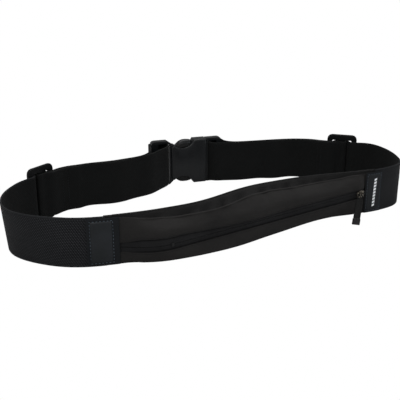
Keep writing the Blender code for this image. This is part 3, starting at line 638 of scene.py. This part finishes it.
def strap_paths(adjuster_at, stop, bar_wrap, to_buckle):
    """The webbing's smooth path, where its weave starts along it, and the function that places points on it.
    """
    middle = ROAD.nearest(adjuster_at)
    end = 0.0 if to_buckle < 0 else ROAD.length
    run = abs(end - middle)
    t = ROAD.tangent(middle)

    def at(toward, out):
        s = middle + to_buckle * toward
        held = ROAD.place(middle, out) + to_buckle * toward * t
        share = ease(abs(toward), 17, 36)
        return (*(held + (ROAD.place(s, out) - held) * share), lift(s))

    path = [at(b, 0) for b in np.arange(-abs(middle - stop), -20, 9.0)]
    weave = len(path) + 6
    path += [at(*place) for place in MAIN_WEAVE]
    path += [at(b, 0) for b in np.arange(20, run - 8, 9.0)]
    path += [(*buckle_plan(*place), BUCKLE_LIFT) for place in bar_wrap]
    inner = np.arange(run - 4, TAIL_END + 14, -9.0)
    hang = [SLACK * math.sin(math.pi * k / (len(inner) - 1)) for k in range(len(inner))]
    path += [at(b, -LAYER - more) for b, more in zip(inner, hang)]
    path += [at(*place) for place in RETURN_WEAVE]
    return path, weave, at


SPAN = 8  # mesh steps to each span of a webbing path


def cut_near(line, place, after, before):
    """The step of a smooth path that passes closest to a plan place, between two steps."""
    gaps = [math.dist(p[:2], place[:2]) for p in line[after:before]]
    return after + int(np.argmin(gaps))


def metres(place, height=0.02):
    return (place[0] * MM, place[1] * MM, height)


def make_straps():
    stop_left = ROAD.nearest((LEFT_PATCH[1] - STRAP_STOP, -57))
    stop_right = ROAD.nearest((RIGHT_PATCH[0] + STRAP_STOP, -59))
    made = []

    path, weave, at = strap_paths(ADJUSTER_LEFT_AT, stop_left, FEMALE_WRAP, -1)
    line = [tuple(p) for p in through(path, SPAN)]
    cut = weave * SPAN
    outer, run = band("webbing_left_front", line[: cut + 1], WEB_FRONT, 0.0, (True, False), 1)
    # The webbing past the adjuster is in the darker copy: painted shade.
    rest, _ = band("webbing_left_back", line[cut:], WEB_PAINTED_SHADE, run, (False, True))
    metres(at(-66, 0))
    metres(at(-17, 0))
    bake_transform(outer)
    last = ROAD.nearest(ADJUSTER_LEFT_AT) - 10
    metres(at(42, 0))
    metres(at(last, 0))
    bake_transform(rest)
    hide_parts("strap_left")
    made.append(("left", at, "slide_left"))

    path, weave, at = strap_paths(ADJUSTER_RIGHT_AT, stop_right, MALE_WRAP, 1)
    line = [tuple(p) for p in through(path, SPAN)]
    cut = weave * SPAN
    split = at(62, 0)
    wrap = len(path) - len(RETURN_WEAVE) - 14
    first = cut_near(line, split, cut, wrap * SPAN)
    second = cut_near(line, at(62, -LAYER), wrap * SPAN, len(line) - len(RETURN_WEAVE) * SPAN + 40)
    outer, run = band("webbing_right_front", line[: cut + 1], WEB_FRONT, 0.0, (True, False), -1)
    # The webbing past the adjuster is in the darker copy: painted shade.
    near, run2 = band("webbing_right_back", line[cut : first + 1], WEB_PAINTED_SHADE, run, (False, False))
    far, run3 = band("webbing_right_buckle", line[first : second + 1], WEB_PAINTED_SHADE, run2, (False, False))
    tail, _ = band("webbing_right_tail", line[second:], WEB_PAINTED_SHADE, run3, (False, True))
    metres(at(-62, 0))
    metres(at(-17, 0))
    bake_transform(outer)
    for piece in (near, tail):
        metres(at(42, 0))
        metres(at(61, 0))
        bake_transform(piece)
    metres(at(63, 0))
    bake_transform(far)
    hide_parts("strap_right")
    made.append(("right", at, "slide_right"))

    # The sewn fold beside each adjuster: two rows of stitches across the webbing.
    for side, at, body in made:
        for i, toward in enumerate((20.0, 26.0) if side == "left" else (19.5, 23.0)):
            surface = -2 * LAYER - WEB_THICK / 2
            here, on = at(toward, surface - 0.02), at(toward + 1, surface)
            tangent = np.array([on[0] - here[0], on[1] - here[1], 0])
            tangent /= np.linalg.norm(tangent)
            inward = np.array(here) - np.array(at(toward, 0))
            inward[2] = 0
            inward /= np.linalg.norm(inward)
            wiggle = 0.25
            row = [
                (np.array([here[0], here[1], here[2] + v]) + tangent * wiggle * math.sin(v * 1.9 + i), inward)
                for v in np.linspace(2.0, WEB_WIDTH - 2.0, 60)
            ]
            stitches(f"fold_stitches_{side}_{i + 1}", row, THREAD_DARK, body, "webbing", 2.4, 0.7, 0.26)


# ---------------------------------------------------------------- pouch


class Pouch:
    """The pouch's surfaces over x, between the patches and tucked under them."""

    def __init__(self):
        shift = [x - PLAN_CENTRE[0] for x in STATIONS]
        self.bottom = spline(shift, BOTTOM)
        self.ridge = spline(shift, RIDGE)
        self.ridge_height = spline(shift, RIDGE_HEIGHT)
        self.bulge = spline(shift, BULGE_ABOVE)
        self.left = LEFT_PATCH[1] - PLAN_CENTRE[0]
        self.right = RIGHT_PATCH[0] - PLAN_CENTRE[0]
        self.closed = Vector((*plan(*ZIP_CLOSED[:2]), ZIP_CLOSED[2]))
        self.opened = Vector((*plan(*ZIP_OPEN[:2]), ZIP_OPEN[2]))

    def at(self, x, depth, z):
        return Vector((x, ROAD.front_y(x) - depth, z))

    def span(self, u):
        return (self.left - TUCK) + u * (self.right - self.left + 2 * TUCK)

    def swell(self, x):
        return ease(x, self.left + 1.6, self.left + 16) * (1 - ease(x, self.right - 10, self.right - 2.3))

    def section(self, x, values, flat):
        inside = min(max(x, self.left), self.right)
        return flat + (values(inside) - flat) * self.swell(x)

    def zip_middle(self, x):
        share = (x - self.opened.x) / (self.closed.x - self.opened.x)
        line = self.opened.lerp(self.closed, share)
        depth = ROAD.front_y(x) - line.y
        bend = min(max((x - self.left - 1.6) / (self.opened.x - 5 - self.left - 1.6), 0), 1)
        near = math.sin(math.pi / 2 * bend) ** 1.2 * (1 - ease(x, self.closed.x + 3.6, self.right - 2.0))
        return -0.45 + (depth + 0.45) * near, line.z


BAG = Pouch()


def section_curve(points):
    p = np.array(points, float)
    knots = np.r_[0, np.cumsum(np.linalg.norm(np.diff(p, axis=0), axis=1))]
    return spline(knots / knots[-1], p)


# Where the cloth behind the ridge drops into pleats: (x, width, depth)
PLEATS = [(-88, 9, 1.6), (-62, 12, 2.6), (-44, 8, 1.7), (-28, 7, 3.0), (-8, 10, 2.0), (15, 7, 3.2),
          (28, 8, 1.8), (40, 7, 2.8), (58, 9, 1.6), (74, 8, 1.6), (96, 10, 1.0)]  # fmt: skip


def ripple(x):
    """The small unevenness of the pouch's ridge along x."""
    return 0.45 * math.sin(x / 7.9 + 0.6) + 0.3 * math.sin(x / 4.3 + 2.0) + 0.25 * math.sin(x / 2.7)


def ridge_place(x):
    free = BAG.swell(x)
    ridge = BAG.section(x, BAG.ridge, 0.35) + 0.35 * free * math.sin(x / 6.1)
    height = BAG.ridge_height(min(max(x, BAG.left), BAG.right)) + 0.35 * free * ripple(x)
    return ridge, height


def upper(x, v):
    """The front panel above the zip: a fold over the tape, a soft bulge and a rolled top edge."""
    free = BAG.swell(x)
    depth, height = BAG.zip_middle(x)
    fold = depth + 0.9 + 0.4 * free
    bulge = fold + BAG.section(x, BAG.bulge, 0)
    ridge, ridge_z = ridge_place(x)
    start = height + ZIP_GAP + fold_rise(x) * free
    tuck, front = section_upper(fold, bulge, ridge, ridge_z, start)
    if v < 0.1:
        w = v / 0.1
        return BAG.at(x, *(np.array(tuck[0]) * (1 - w) + np.array(tuck[1]) * w))
    if v > 0.9:
        angle = math.pi * 0.85 * (v - 0.9) / 0.1
        size = 0.25 + 0.55 * free
        return BAG.at(x, ridge - size + size * math.cos(angle), ridge_z + size * math.sin(angle))
    w = (v - 0.1) / 0.8
    here, rise = front(w)
    crease = 0.0
    for middle, width, deep in PLEATS:
        crease += deep * 0.36 * bump(x + 7 * (1 - w), middle, width * 0.7) * ease(w, 0.45, 0.95)
    wave = 0.30 * math.sin(x / 11.0 + 5 * w) + 0.18 * math.sin(x / 5.3 - 7 * w + 1.0)
    wave += 0.30 * bump(x, 104, 10) * math.sin((x + 9 * w) / 2.2) * (1 - w)
    wave += 0.21 * bump(x, -42, 5) * math.sin(14 * w)
    wave += 0.45 * bump(x, -86, 9) * math.sin((x - 6 * w) / 2.9) * (1 - w)
    return BAG.at(x, here + free * (wave * math.sin(math.pi * min(w * 1.1, 1)) - crease), rise)


def fold_rise(x):
    """How much higher than elsewhere the fold above the zip runs."""
    return 2.8 * (1 - ease(x, -75, -25)) - 1.2 * bump(x, 0, 22)


def section_upper(fold, bulge, ridge, ridge_z, start):
    """The upper panel's tucked edge, and its curve from the fold to the ridge."""
    front = section_curve([(fold, start), (bulge, start + 0.38 * (ridge_z - start)), (ridge, ridge_z)])
    return [(fold - 0.75, start + 1.2), (fold, start)], front


def lower(x, v):
    """The front panel below the zip, and the pouch's underside."""
    free = BAG.swell(x)
    depth, height = BAG.zip_middle(x)
    fold = depth + 0.9 + 0.4 * free
    bottom = BAG.section(x, BAG.bottom, 0.35)
    end = height - ZIP_GAP
    if v < 0.06:
        w = v / 0.06
        return BAG.at(x, fold - 0.7 * (1 - w), end - 1.0 * (1 - w))
    front = section_curve([(fold, end), ((fold + bottom) / 2 + 0.4 * free, end / 2), (bottom, 1.6)])
    if v < 0.6:
        w = (v - 0.06) / 0.54
        here, rise = front(w)
        wave = 0.20 * math.sin(x / 9.0 + 4 * w) + 0.12 * math.sin(x / 4.7 - 5 * w)
        return BAG.at(x, here + free * wave * math.sin(math.pi * w), rise)
    w = (v - 0.6) / 0.4
    return BAG.at(x, bottom + (-0.5 - bottom) * ease(w, -0.6, 1.0), 0.35 + 1.25 * (1 - w) ** 6)


def gusset(x, v):
    """The cloth behind the ridge: it drops into a valley with pleats and rises to the back edge."""
    free = BAG.swell(x)
    ridge, ridge_z = ridge_place(x)
    front = ridge - 1.0 - 0.4 * free
    rise = WEB_WIDTH - 0.4 - ridge_z
    height = ridge_z - 0.2 * free + (rise - 0.2) * v
    room = max(front + 0.5, 0.1) / 14.0
    sag = (0.9 + 1.9 * room) * free * math.sin(math.pi * min(1.0, v * 0.9 + 0.18)) ** 1.2
    for middle, width, deep in PLEATS:
        lean = x - 9 * (v - 0.25)
        drop = math.sin(math.pi * min(1, v * 1.25)) * (v < 0.8)
        sag += deep * 1.05 * free * bump(lean, middle, width * 0.55) * drop
        sag -= deep * 0.30 * free * bump(lean, middle + width * 1.05, width * 0.5) * math.sin(math.pi * v)
    return BAG.at(x, front + (-0.5 - front) * v, height - sag)


def make_pouch():
    pieces = [
        ("pouch_upper_cloth", upper, 40, POUCH, "pouch_front_upper_panel", 21.7),
        ("pouch_lower_cloth", lower, 36, POUCH, "pouch_front_lower_panel", 25.4),
        # The top cloth behind the ridge is in the darker copy: painted shade.
        ("pouch_top_cloth_painted_shade", gusset, 26, POUCH_PAINTED_SHADE, "pouch_top_gusset", 10.8),
    ]
    for name, shape, across, material, node, wide in pieces:
        made = cloth(name, lambda u, v: shape(BAG.span(u), v), 420, across, material, "pouch_fabric")
        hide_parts(node)
    # The back panel is in the darker copy too: painted shade.
    back = cloth("pouch_back_cloth", lambda u, v: BAG.at(BAG.span(u), BACK_OUT, v * WEB_WIDTH), 200, 8,
                 POUCH_PAINTED_SHADE, "pouch_fabric", FABRIC + 0.1)  # fmt: skip
    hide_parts("pouch_back_panel")

    # A bound edge along the top and the bottom of the back.
    xs = np.linspace(BAG.left - 4, BAG.right + 4, 260)
    for name, z in (("top", WEB_WIDTH - 0.25), ("bottom", 0.75)):
        line = [BAG.at(x, -0.95, z) for x in xs]
        tube(f"pouch_{name}_binding", line, 0.72, PIPING, "belt", "pouch_fabric", 8)
    # Topstitching just above the zip's upper fold and below its lower fold.
    for name, shape, v in (("upper", upper, 0.155), ("lower", lower, 0.115)):
        row = []
        for x in np.linspace(BAG.left + 2, BAG.right - 2, 300):
            here, on, over = shape(x, v), shape(x + 0.4, v), shape(x, v + 0.01)
            out = (on - here).cross(over - here).normalized()
            if out.y > 0:
                out = -out
            row.append((np.array(here + out * (FABRIC / 2)), np.array(out)))
        stitches(f"zip_topstitch_{name}", row, THREAD_DARK, "belt", "pouch_fabric", 2.2, 0.72, 0.16)


def make_zip():
    for name, side in (("upper", 1), ("lower", -1)):
        def tape(u, v, side=side):
            x = BAG.span(u)
            depth, height = BAG.zip_middle(x)
            lean = 2.5 * v * v * BAG.swell(x)
            parted = 0.22 + 0.78 * ease(x, BAG.closed.x, BAG.closed.x + 2.2)
            groove = 0.18 * bump(v * 7.0, 1.7, 0.25)
            return BAG.at(x, depth - lean - groove, height + side * (parted + v * 7.0))

        made = cloth(f"zip_tape_{name}_woven", tape, 420, 22, TAPE, "zip_tape", 0.5)
        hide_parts(f"zipper_tape_{name}")

        # The coil: one wire wound in close loops behind the tape, along the zip's closed length.
        low, high = BAG.left + 12, BAG.closed.x + 1.8
        turns = int((high - low) / 1.45)
        path = []
        for i in range(turns * 10 + 1):
            x = low + (high - low) * i / (turns * 10)
            depth, height = BAG.zip_middle(x)
            a = math.tau * i / 10 + (0 if side > 0 else math.pi)
            rise = side * (0.95 + 0.52 * math.sin(a))
            path.append(BAG.at(x, depth - 1.35 + 0.52 * math.cos(a), height + rise))
        made = tube(f"zip_coil_{name}_wire", path, 0.26, COIL, "belt", "zip_coil", 6)
        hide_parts(f"zipper_coil_{name}")
    for node in ("zipper_top_stop_upper", "zipper_top_stop_lower", "zipper_bottom_stop"):
        refined(f"{node}_crimped", node, COIL, "belt", "slider_enamel", 0.15)


# ---------------------------------------------------------------- patches


def patch_frame(low, high):
    low, high = low - PLAN_CENTRE[0], high - PLAN_CENTRE[0]
    return [ROAD.nearest((x + PLAN_CENTRE[0], -57)) for x in (low, high)]


def make_patch(name, limits, heights, material, edge_material, margins, node):
    """A sewn patch: a smooth raised field inside a pressed seam line, and its stitches.

    margins are the seam's distances from the left, right, lower and upper edges."""
    left, right, low, high = margins
    ends = patch_frame(*limits)
    long, tall = abs(ends[1] - ends[0]), heights[1] - heights[0]

    def at(a, b, extra=0.0):
        """The place at a millimetres along and b up from the patch's lower left corner."""
        xy = ROAD.place(ends[0] + a, PATCH_OUT + extra)
        return Vector((*xy, heights[0] + b))

    def field(u, v):
        a, b = u * long, v * tall
        inside = min(a - left, long - right - a, b - low, tall - high - b)
        raised = 0.45 * ease(inside, 0, 1.6) - 0.30 * bump(inside, 0, 0.55)
        raised += 0.06 * math.sin(a / 3.1) * math.sin(b / 4.3 + 1)
        raised -= 0.25 * (1 - ease(min(a, long - a, b, tall - b), 0, 0.7))
        return at(a, b, raised)

    made = cloth(name, field, 110, 130, material, "patch_rubber", 0.9)
    made.data.materials.append(edge_material)
    made.data.polygons.foreach_set("material_index", [0] * len(made.data.polygons))
    layer = made.data.uv_layers["length"].data
    for face in made.data.polygons:
        a, b = np.mean([layer[i].uv for i in face.loop_indices], axis=0)
        if min(a - left, long - right - a, b - low, tall - high - b) < 0.4:
            face.material_index = 1
    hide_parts(node)
    row = []
    for a, b in outline_steps(left, low, long - right, tall - high):
        here = at(a, b, 0.42)
        out = at(a, b, 1.42) - here
        row.append((np.array(here), np.array(out)))
    stitches(f"{name}_stitches", row, THREAD, "belt", "patch_rubber", 2.7, 0.58, 0.32)
    return at, long, tall


def outline_steps(x0, y0, x1, y1, step=0.5):
    """Points round a rectangle."""
    for x in np.arange(x0, x1, step):
        yield x, y0
    for y in np.arange(y0, y1, step):
        yield x1, y
    for x in np.arange(x1, x0, -step):
        yield x, y1
    for y in np.arange(y1, y0, -step):
        yield x0, y


def make_patches():
    margins = (2.4, 4.6, 2.2, 2.2)
    make_patch("patch_left_sewn", LEFT_PATCH, (1.0, 39.0), PATCH, PATCH_EDGE, margins, "patch_left")
    margins = (1.6, 1.8, 1.6, 1.6)
    at, long, tall = make_patch(
        "patch_right_sewn", RIGHT_PATCH, (0.8, 38.2), LABEL, PATCH_EDGE, margins, "patch_right"
    )

    # The printed mark: plain slanted bars in a column.
    verts, faces = [], []
    count, height, wide = 9, 27.0, 2.5
    for i in range(count):
        low = (tall - height) / 2 + i * height / count
        corners = [(-wide / 2, 0.0), (wide / 2, 0.9), (wide / 2, 2.7), (-wide / 2, 1.8)]
        base = len(verts)
        for a, b in corners:
            verts.append(at(long * 0.52 + a + 0.12 * (i - 4), low + b, 1.0))
        for a, b in corners:
            verts.append(at(long * 0.52 + a + 0.12 * (i - 4), low + b, 0.86))
        faces += [(base, base + 1, base + 2, base + 3), (base + 7, base + 6, base + 5, base + 4)]
        faces += [(base + k, base + 4 + k, base + 4 + (k + 1) % 4, base + (k + 1) % 4) for k in range(4)]
    finished("patch_right_bars", verts, faces, MARK, "belt", "patch_rubber", smooth=False)


# ---------------------------------------------------------------- hard pieces


def buckle_axes():
    along = Vector((math.cos(math.radians(BUCKLE_TURN)), math.sin(math.radians(BUCKLE_TURN)), 0))
    up = Vector((0, 0, 1))
    return axes(along, up, along.cross(up), (*buckle_plan(0, 0), BUCKLE_MIDDLE))


RECESS_EDGE = 19.0  # below this a button's faces get painted shade, for the shade of its scoop
BUTTON_TOP = [(-12.6, 13.6), (-11.6, 16.6), (-9.4, 19.6), (-6.5, 21.6), (-3, 22.5), (0.4, 22.4), (3.4, 21.9),
              (5.2, 21.0)]  # fmt: skip


def make_button(name, side, body, node):
    """A latch arm: a flat arm inside the socket, and a ribbed cushion for the thumb in its scoop."""
    matrix = buckle_axes()
    top = np.array(through(BUTTON_TOP, 6))
    verts, faces = [], []
    around = 26
    for i, (x, crest) in enumerate(top):
        share = i / (len(top) - 1)
        crest -= 1.2 * (side < 0)
        low = 13.2 + (16.6 - 13.2) * share
        swell = math.sin(math.pi * min(max(share * 0.96 + 0.03, 0), 1)) ** 0.45
        wide = 1.6 + 3.2 * swell
        base = min(low, crest - 0.4)
        for k in range(around + 1):
            angle = math.pi * k / around
            rib = 1 + 0.035 * math.cos(angle * 13)
            y = base + (crest - base) * max(math.sin(angle), 0.0) ** 0.75
            verts.append(matrix @ Vector((x, side * y, wide * rib * math.cos(angle))))
    n = around + 1
    for i in range(len(top) - 1):
        for k in range(around):
            faces.append((i * n + k, i * n + k + 1, (i + 1) * n + k + 1, (i + 1) * n + k)[::side])
        faces.append((i * n + around, i * n, (i + 1) * n, (i + 1) * n + around)[::side])
    faces.append(tuple(range(n))[::-side])
    faces.append(tuple((len(top) - 1) * n + k for k in range(n))[::side])
    cap = finished(name, verts, faces, PLASTIC, body, "hard_plastic")
    cap.data.materials.append(RECESS_PAINTED_SHADE)
    flatten = matrix.inverted()
    # Painted shade: the cushion's faces low in its scoop get the near-black recess copy.
    for face in cap.data.polygons:
        face.material_index = int(side * (flatten @ (face.center / MM)).y < RECESS_EDGE)
    tidy(cap.data)
    arm = refined(f"{name}_arm", node, PLASTIC, body, "hard_plastic", 0.3)
    for v in arm.data.vertices:
        local = flatten @ (v.co / MM)
        reach = ease(side * local.y, 12.5, 15.5)
        local.z *= 1 - 0.55 * reach
        local.y -= side * 1.2 * ease(side * local.y, 17, 21)
        v.co = (matrix @ local) * MM
    return cap


def make_hard():
    refined("socket", "buckle_female", PLASTIC, "belt", "hard_plastic", 0.55)
    refined("plug", "buckle_male", PLASTIC, "buckle_plug", "hard_plastic", 0.5)
    make_button("button_upper", 1, "prong_upper", "buckle_prong_upper")
    make_button("button_lower", -1, "prong_lower", "buckle_prong_lower")
    refined("glide_left", "adjuster_left", GLIDE, "slide_left", "hard_plastic", 0.35, 20)
    refined("glide_right", "adjuster_right", GLIDE, "slide_right", "hard_plastic", 0.35, 20)
    refined("slider_body", "zipper_slider", ENAMEL, "zip_slider", "slider_enamel", 0.18)
    refined("link_wire", "zipper_pull_link", ENAMEL, "pull_link", "slider_enamel", 0.05, 60)


def zip_axes(origin):
    along = (BAG.closed - BAG.opened).normalized()
    out = Vector((along.y, -along.x, 0)).normalized()
    return axes(along, out.cross(along), out, origin)


def make_tab():
    """The moulded pull: a ribbed strip with a raised rim, an eye at the top and a heavier tip."""
    zip_frame = zip_axes(BAG.closed)
    bridge = zip_frame @ Vector((0, 0, 2.55))
    swing = math.radians(LINK_SWING)
    basis = zip_frame.to_3x3()
    reach = basis @ Vector((-math.cos(swing), 0, math.sin(swing)))
    up = basis.col[1]
    side = reach.cross(up)
    joint = bridge + reach * LINK_REACH
    droop = math.radians(TAB_DROOP)
    down = reach * math.cos(droop) - up * math.sin(droop)
    matrix = axes(down, side, down.cross(side), joint)

    def half_width(a):
        return 2.5 + (TAB_WIDTH / 2 - 2.5) * ease(a, 0, 4.5)

    parts = (("pull_strip", 2.4, 21.6, RUBBER), ("pull_tip", 21.4, TAB_LENGTH, TIP))
    for name, start, end, material in parts:
        tip = name == "pull_tip"
        verts, faces = [], []
        steps, around = (30, 32) if tip else (70, 32)
        for i in range(steps + 1):
            a = start + (end - start) * i / steps
            near = min(a - start, end - a)
            shrink = math.sqrt(max(0.02, 1 - (1 - min(near / 0.9, 1)) ** 2)) if tip else 1.0
            wide = (half_width(a) + (0.0 if tip else -0.35)) * (0.8 + 0.2 * shrink)
            thick = (0.95 if tip else 0.72) * shrink
            for k in range(around):
                angle = math.tau * k / around
                c, s = math.cos(angle), math.sin(angle)
                b = wide * math.copysign(abs(c) ** 0.35, c)
                z = thick * math.copysign(abs(s) ** 0.45, s)
                if not tip:
                    inner = 1 - ease(abs(b), wide - 1.3, wide - 0.8)
                    z *= 1 - 0.28 * inner
                    z += math.copysign(0.05, s) * inner * math.sin(a * 4.2)
                verts.append(matrix @ Vector((a, b, z)))
        for i in range(steps):
            for k in range(around):
                m = (k + 1) % around
                faces.append((i * around + k, (i + 1) * around + k, (i + 1) * around + m, i * around + m))
        faces += [tuple(range(around)), tuple(steps * around + k for k in range(around))[::-1]]
        made = finished(name, verts, faces, material, "pull_tab", "pull_rubber")
        tidy(made.data)
        if not tip:
            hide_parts("zipper_pull_tab")
    # The eye that the wire link goes through.
    eye_radius, wire = 1.95, 0.62
    turns = np.linspace(0, math.tau, 28, endpoint=False)
    rim = [
        matrix @ Vector((0.35 + eye_radius * math.cos(a), eye_radius * math.sin(a), 0)) for a in turns
    ]
    tube("pull_eye", rim, wire, RUBBER, "pull_tab", "pull_rubber", 10, True)


# ---------------------------------------------------------------- studio


def camera():
    data = bpy.data.cameras.new("camera")
    data.lens, data.sensor_width = 63.25, 36.0
    data.clip_start, data.clip_end = 0.01, 20
    obj = bpy.data.objects.new("camera", data)
    obj.location = (-0.28667, -0.52807, 0.22678)
    obj.rotation_euler = (math.radians(90 - 19.78), 0, math.radians(-27.92))
    bpy.context.scene.collection.objects.link(obj)
    bpy.context.scene.camera = obj


def light(name, place, target, size, power, tint=(1, 1, 1)):
    data = bpy.data.lights.new(name, "AREA")
    data.shape = "RECTANGLE"
    data.size, data.size_y = size
    data.energy = power
    data.color = tint
    obj = bpy.data.objects.new(name, data)
    obj.location = place
    obj.rotation_euler = (Vector(target) - Vector(place)).to_track_quat("-Z", "Y").to_euler()
    bpy.context.scene.collection.objects.link(obj)


def studio():
    scene = bpy.context.scene
    scene.view_settings.view_transform = "Standard"
    scene.view_settings.look = "None"
    world = bpy.data.worlds.new("studio")
    scene.world = world
    world.use_nodes = True
    nodes, links = world.node_tree.nodes, world.node_tree.links
    seen = nodes.new("ShaderNodeLightPath").outputs["Is Camera Ray"]
    strength = nodes.new("ShaderNodeMapRange")
    links.new(seen, strength.inputs[0])
    strength.inputs[3].default_value, strength.inputs[4].default_value = 0.32, 1.0
    links.new(strength.outputs[0], nodes["Background"].inputs["Strength"])
    nodes["Background"].inputs["Color"].default_value = (1, 1, 1, 1)

    bpy.ops.mesh.primitive_plane_add(size=30, location=(0, 0, -0.0008))
    floor = bpy.context.object
    floor.name = "floor"
    made = bpy.data.materials.new("floor_white")
    made.use_nodes = True
    tree = made.node_tree
    shader = tree.nodes["Principled BSDF"]
    shader.inputs["Base Color"].default_value = (0.55, 0.55, 0.55, 1)
    shader.inputs["Roughness"].default_value = 1.0
    shader.inputs["Specular IOR Level"].default_value = 0.0
    glow = tree.nodes.new("ShaderNodeEmission")
    mix = tree.nodes.new("ShaderNodeMixShader")
    path = tree.nodes.new("ShaderNodeLightPath")
    tree.links.new(path.outputs["Is Camera Ray"], mix.inputs[0])
    tree.links.new(shader.outputs[0], mix.inputs[1])
    tree.links.new(glow.outputs[0], mix.inputs[2])
    tree.links.new(mix.outputs[0], tree.nodes["Material Output"].inputs["Surface"])
    floor.data.materials.append(made)

    light("key", (-0.75, -0.95, 0.85), (0, -0.02, 0.02), (0.8, 0.6), 9.5)
    light("top", (0.1, 0.25, 1.1), (0, 0, 0.02), (1.0, 0.8), 7.5)
    light("fill", (0.9, -0.9, 0.5), (0.05, 0, 0.02), (0.7, 0.6), 2.6, (0.92, 0.96, 1.0))


camera()
make_straps()
make_pouch()
make_zip()
make_patches()
make_hard()
make_tab()
studio()
